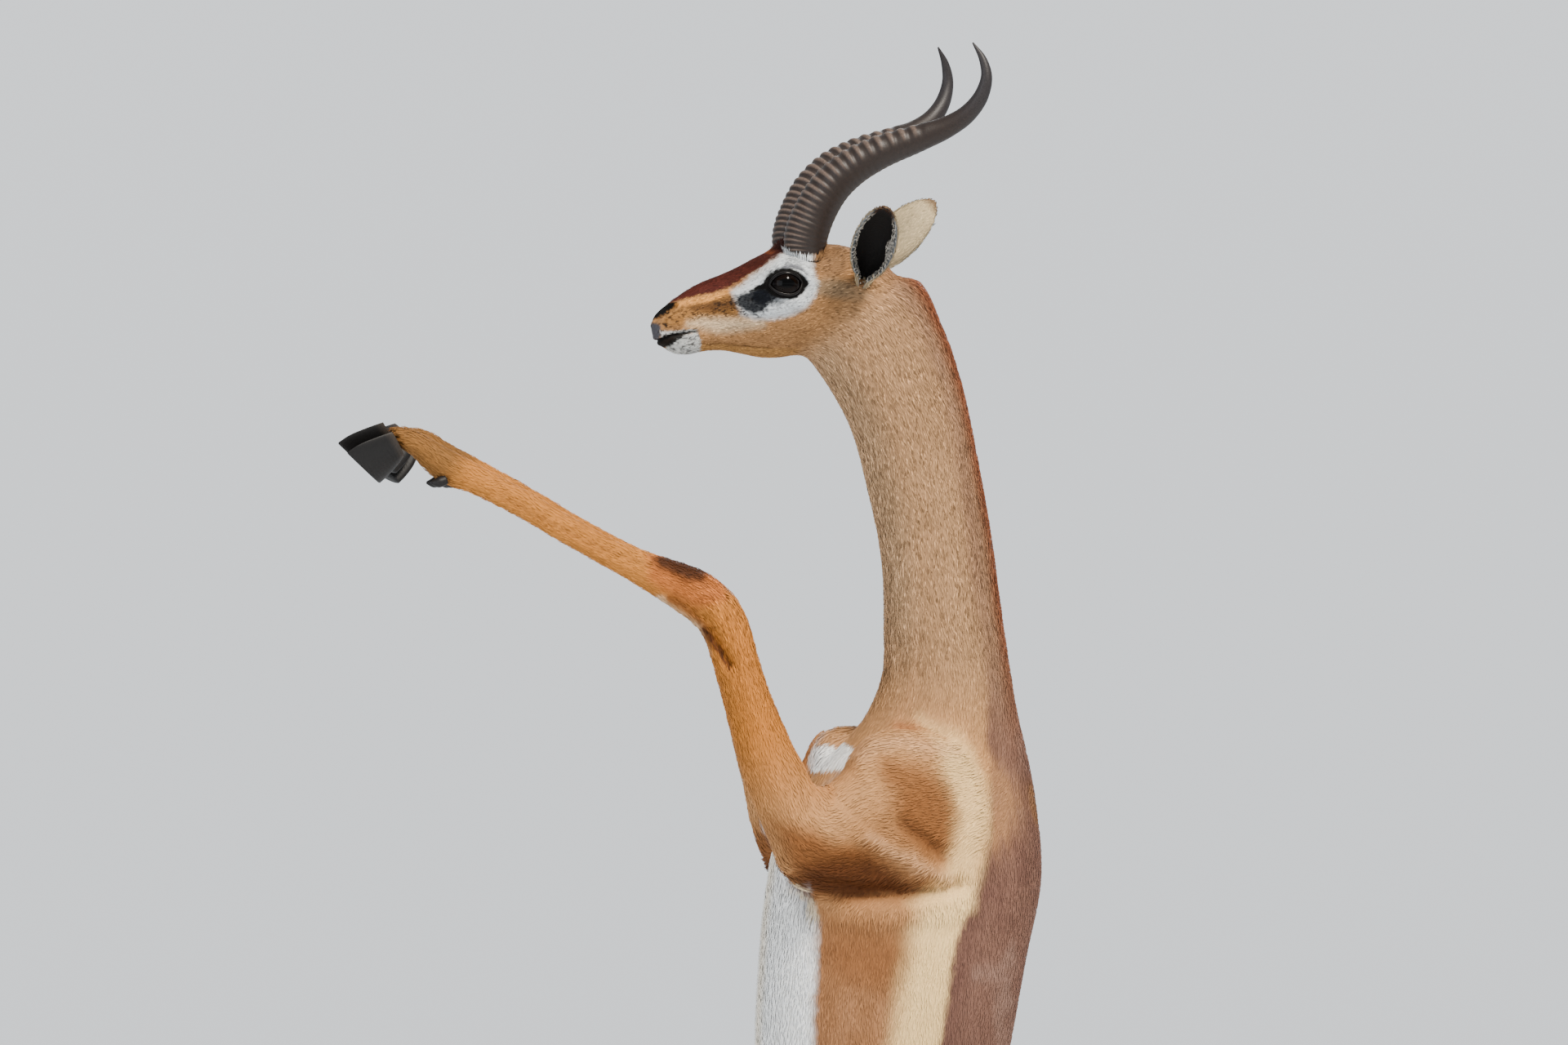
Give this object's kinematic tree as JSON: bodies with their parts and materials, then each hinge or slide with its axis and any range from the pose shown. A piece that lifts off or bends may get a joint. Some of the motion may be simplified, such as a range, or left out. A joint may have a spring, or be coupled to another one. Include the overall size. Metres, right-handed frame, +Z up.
{
  "type": "gerenuk",
  "caption": "Life-size still model of a slender long-necked antelope with ringed horns, standing upright on its hind legs, on a flat display base.",
  "frame": {"origin": "centre of the underside of the display base", "axes": "+Z up; the animal faces -X, its left side is at -Y and its back is towards +X"},
  "size_m": [0.8742, 0.44, 2.1304],
  "materials": {
    "coat": "short flat reddish-brown hair, paler on the flank, white below",
    "ear": "thin furred ear, dark inside with pale hair at its rim",
    "tail": "short brown hair with a black tuft",
    "eye": "wet, very dark brown",
    "horn": "ringed dark brown horn, satin",
    "hoof": "black hoof horn, satin",
    "stand": "painted display plinth, matt warm grey"
  },
  "bodies": {
    "root": {"torso": "coat", "neck": "coat", "head": "coat", "forearm_left": "coat", "forearm_right": "coat", "fore_cannon_left": "coat", "fore_cannon_right": "coat", "fore_pastern_left": "coat", "fore_pastern_right": "coat", "thigh_left": "coat", "thigh_right": "coat", "shank_left": "coat", "shank_right": "coat", "hind_cannon_left": "coat", "hind_cannon_right": "coat", "hind_pastern_left": "coat", "hind_pastern_right": "coat", "ear_left": "ear", "ear_right": "ear", "tail": "tail", "eye_left": "eye", "eye_right": "eye", "horn_left": "horn", "horn_right": "horn", "fore_hoof_inner_left": "hoof", "fore_hoof_outer_left": "hoof", "fore_hoof_inner_right": "hoof", "fore_hoof_outer_right": "hoof", "hind_hoof_inner_left": "hoof", "hind_hoof_outer_left": "hoof", "hind_hoof_inner_right": "hoof", "hind_hoof_outer_right": "hoof", "stand_base": "stand"}
  },
  "joints": []
}
